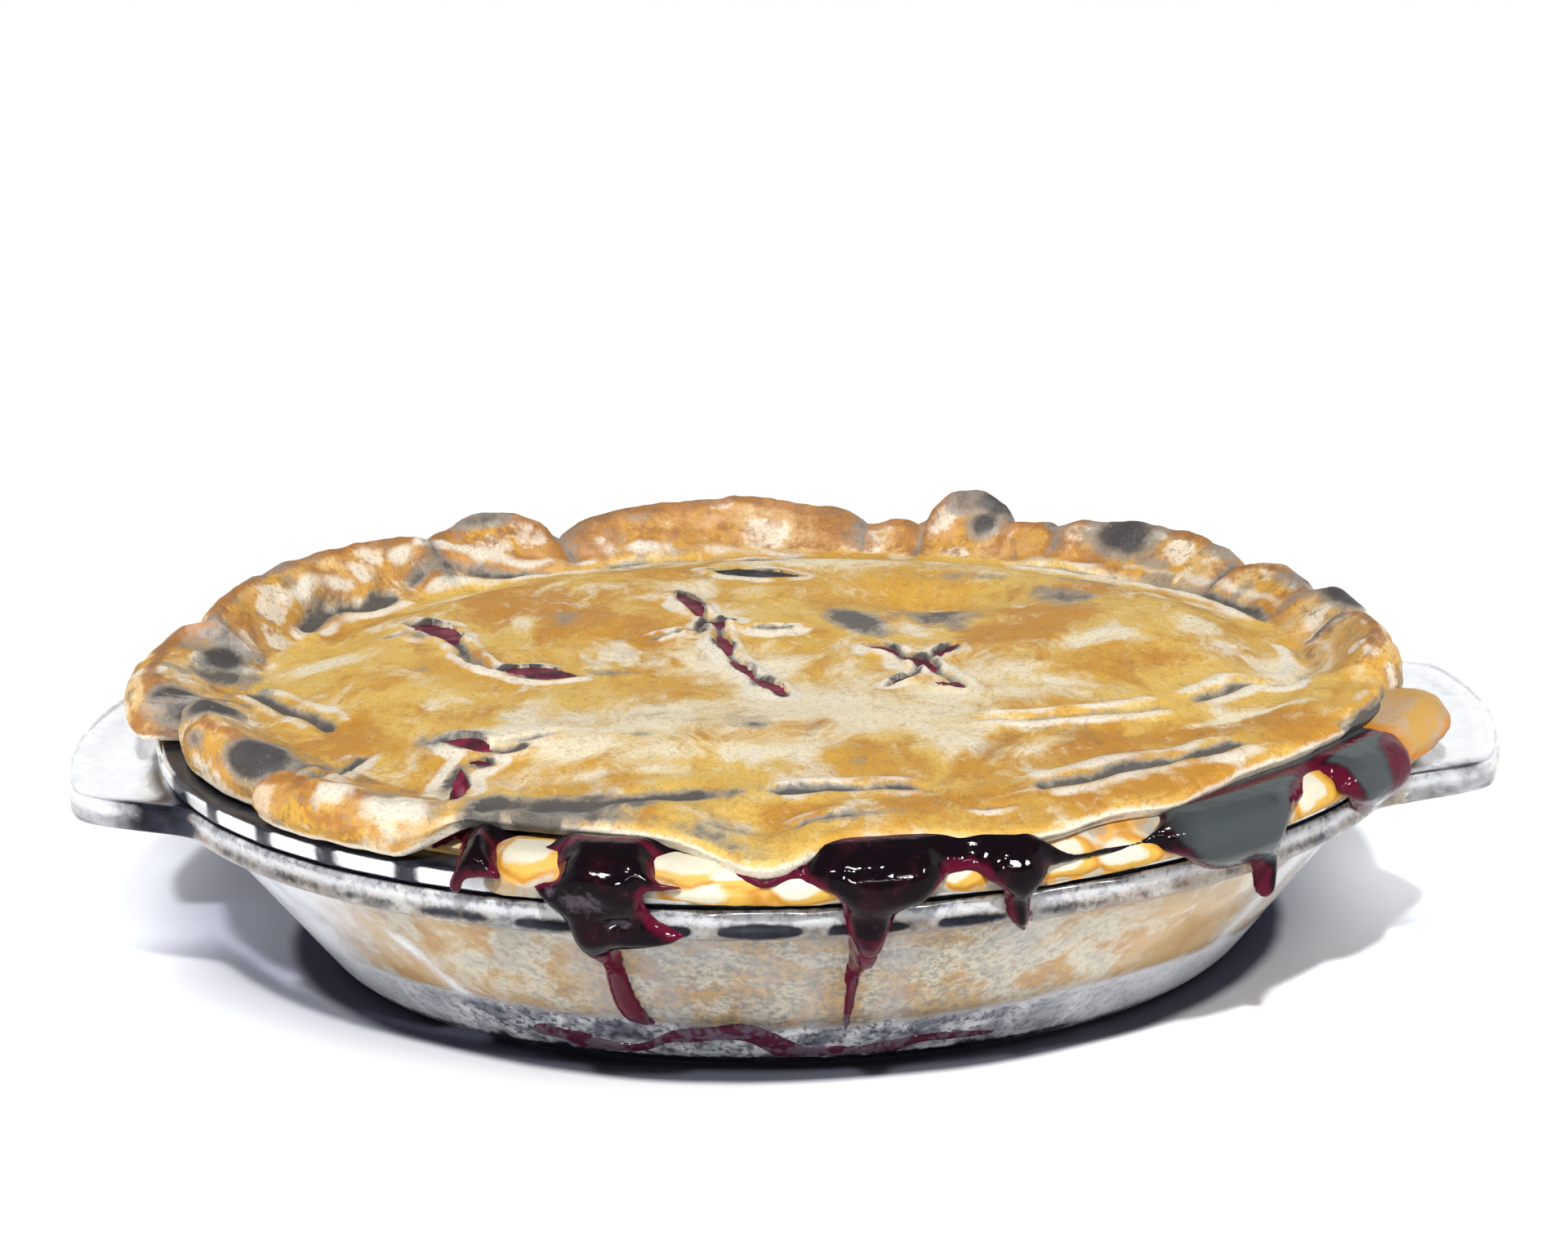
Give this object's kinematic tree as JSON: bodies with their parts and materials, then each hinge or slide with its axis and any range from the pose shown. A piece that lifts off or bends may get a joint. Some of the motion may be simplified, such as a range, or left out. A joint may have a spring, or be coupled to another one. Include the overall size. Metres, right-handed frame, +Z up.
{
  "type": "cherry pie in a glass dish",
  "caption": "Round double-crust cherry pie with crimped edge and steam slits, in a clear glass dish with ear handles; filling has burst out and run over the rim.",
  "frame": {"origin": "middle of the dish's foot, on the surface that the dish stands on", "axes": "+Z up; +X out through the right ear handle; the burst side of the crust faces -Y"},
  "size_m": [0.2852, 0.2555, 0.0634],
  "materials": {
    "clear_glass": "clear, smooth pressed glass",
    "pale_pastry": "baked pastry, pale, seen through glass and golden at its edge",
    "cherry_syrup": "thick dark cherry syrup, wet gloss",
    "browned_pastry": "golden baked pastry, cream highlights, scorched ruffles"
  },
  "bodies": {
    "root": {"glass_dish": "clear_glass", "lower_crust": "pale_pastry", "cherry_filling": "cherry_syrup", "top_crust": "browned_pastry"}
  },
  "joints": []
}
